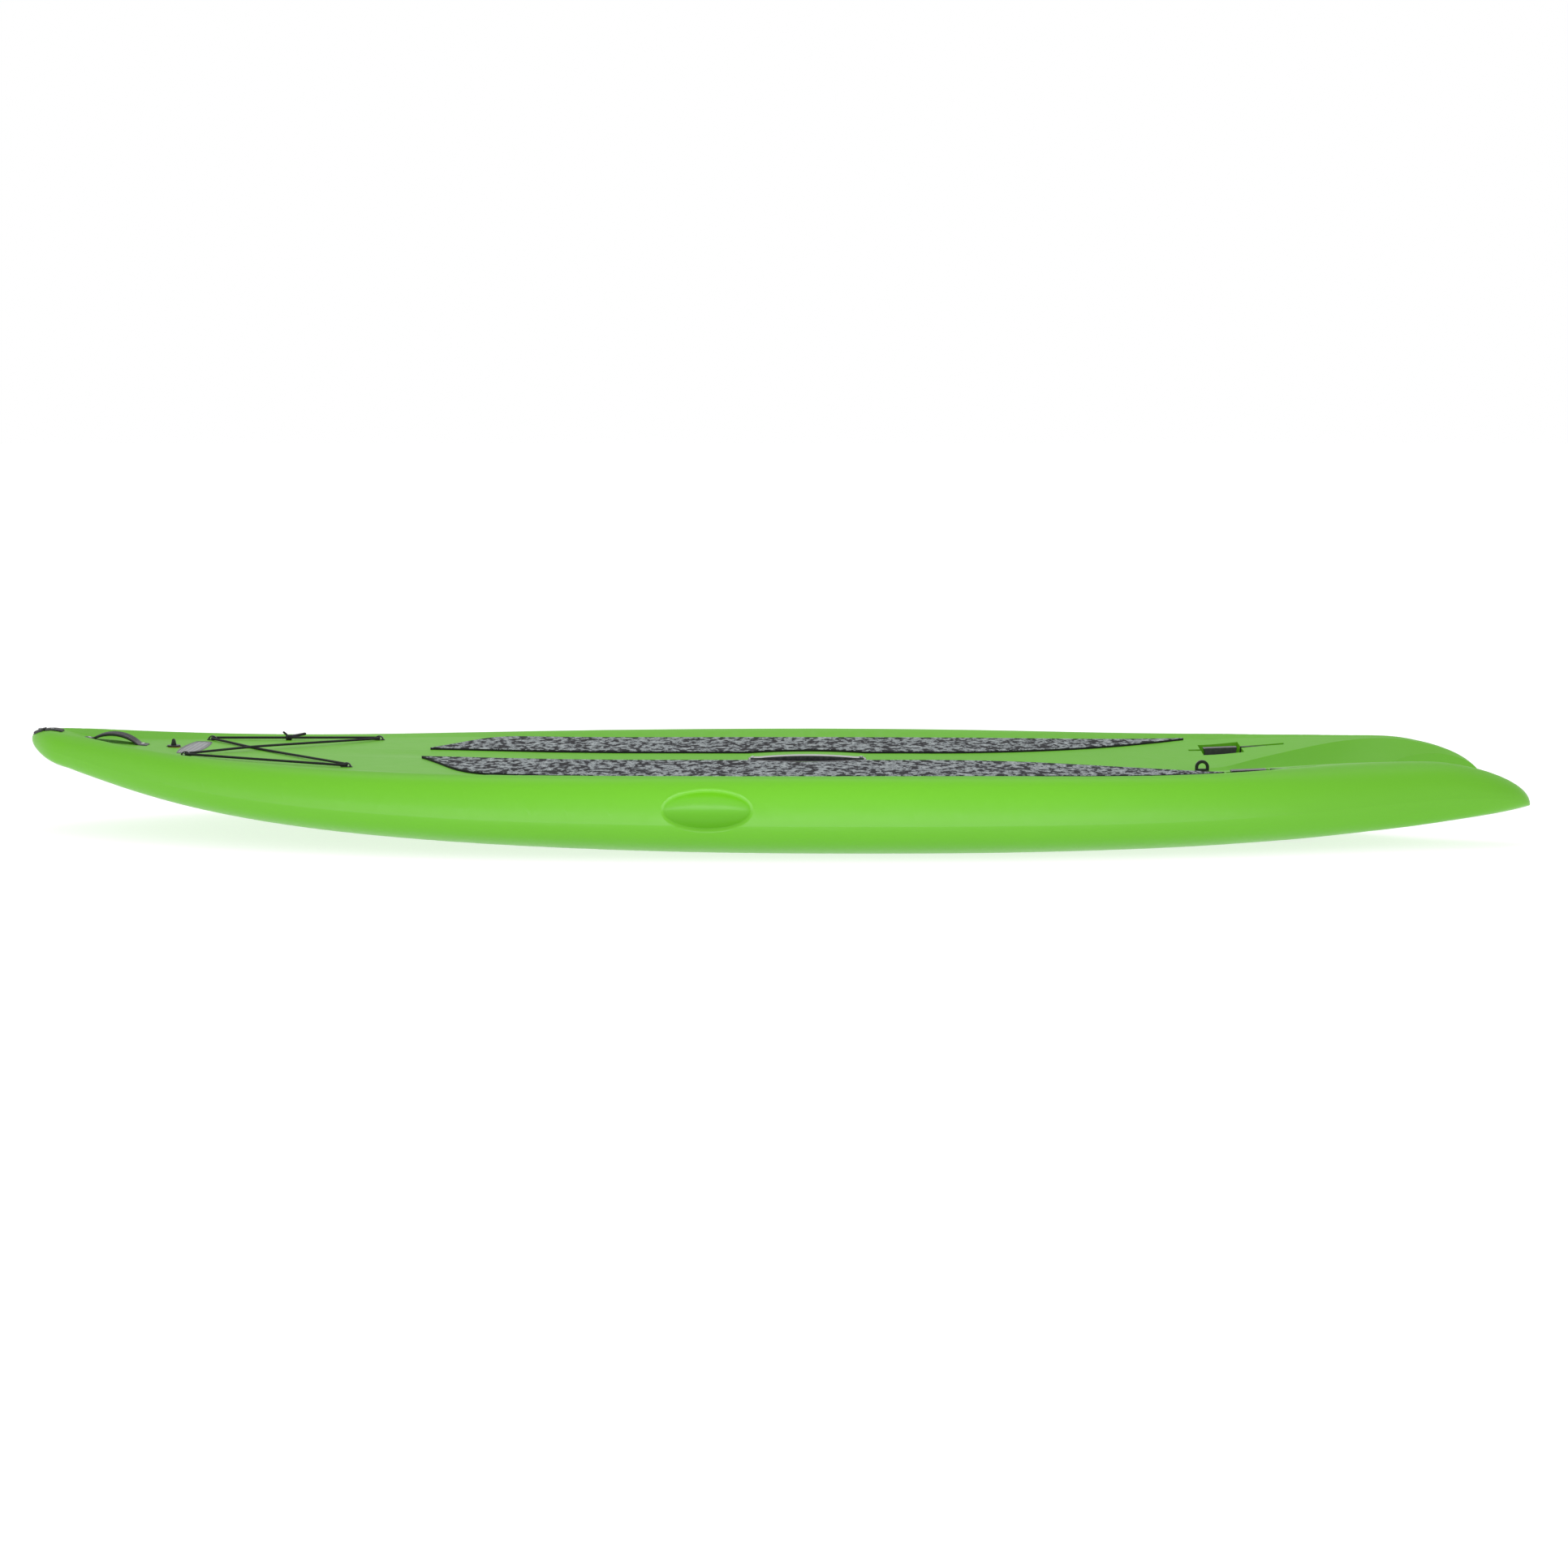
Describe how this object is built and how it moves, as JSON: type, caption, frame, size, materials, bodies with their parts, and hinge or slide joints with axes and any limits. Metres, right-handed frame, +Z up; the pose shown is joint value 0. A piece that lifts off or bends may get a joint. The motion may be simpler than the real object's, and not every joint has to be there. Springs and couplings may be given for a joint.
{
  "type": "stand up paddleboard",
  "caption": "Hard-shell stand up paddleboard with twin tails, foam deck pads, carry handles, lashed bungee, drain plug, leash ring and kick-up fins.",
  "frame": {"origin": "middle of the board's bounding box in plan, at the height of the flat of the bottom that it rests on", "axes": "+X towards the tails, +Y to starboard, +Z up"},
  "size_m": [3.048, 0.9022, 0.2094],
  "materials": {
    "lime_hdpe": "satin moulded polyethylene",
    "camo_eva": "mottled closed-cell foam",
    "black_rubber": "matte rubber",
    "black_strap": "satin flexible vinyl",
    "black_plastic": "satin plastic",
    "gloss_black": "polished plastic",
    "black_nylon": "satin glass-filled nylon",
    "black_cord": "braided sleeve",
    "red_gasket": "matte silicone",
    "grey_badge": "satin plate with a dark border",
    "brass_insert": "machined",
    "stainless": "bright"
  },
  "bodies": {
    "board": {"hull_shell": "lime_hdpe", "left_deck_pad": "camo_eva", "right_deck_pad": "camo_eva", "nose_guard": "black_rubber", "nose_guard_strip": "black_rubber", "nose_guard_screws": "stainless", "bow_handle": "black_strap", "bow_handle_screws": "stainless", "drain_socket": "black_plastic", "badge_plate": "grey_badge", "pad_eye_front_left": "black_plastic", "pad_eye_front_right": "black_plastic", "pad_eye_rear_left": "black_plastic", "pad_eye_rear_right": "black_plastic", "pad_eye_inserts": "brass_insert", "shock_cord": "black_cord", "cord_knot": "black_cord", "leash_ring": "black_plastic", "leash_insert": "brass_insert", "centre_handle_bezel": "gloss_black", "centre_handle_grip": "gloss_black", "centre_handle_screws": "stainless", "left_fin_bracket": "black_plastic", "right_fin_bracket": "black_plastic", "left_fin_pivot_pin": "stainless", "right_fin_pivot_pin": "stainless", "left_fin_bracket_screws": "stainless", "right_fin_bracket_screws": "stainless"},
    "drain_seal": {"drain_gasket": "red_gasket"},
    "drain_stopper": {"drain_plug": "black_plastic"},
    "left_fin": {"left_fin_blade": "black_nylon"},
    "right_fin": {"right_fin_blade": "black_nylon"}
  },
  "joints": [
    {"name": "left_fin_swing", "type": "hinge", "parent": "board", "child": "left_fin", "pos_m": [0.93, -0.19, 0.062], "axis": [0, 1, 0], "range_deg": [0, 80]},
    {"name": "right_fin_swing", "type": "hinge", "parent": "board", "child": "right_fin", "pos_m": [0.93, 0.19, 0.062], "axis": [0, 1, 0], "range_deg": [0, 80]},
    {"name": "drain_plug_lift", "type": "slide", "parent": "board", "child": "drain_seal", "axis": [0, 0, 1], "range_m": [0, 0.012]},
    {"name": "drain_plug_turn", "type": "hinge", "parent": "drain_seal", "child": "drain_stopper", "pos_m": [-1.233, 0, 0.16714], "axis": [0, 0, 1], "range_deg": [0, 1440]}
  ],
  "couplings": [
    {"joint": "drain_plug_lift", "follows": "drain_plug_turn", "m_per_rad": 0.00047746}
  ]
}
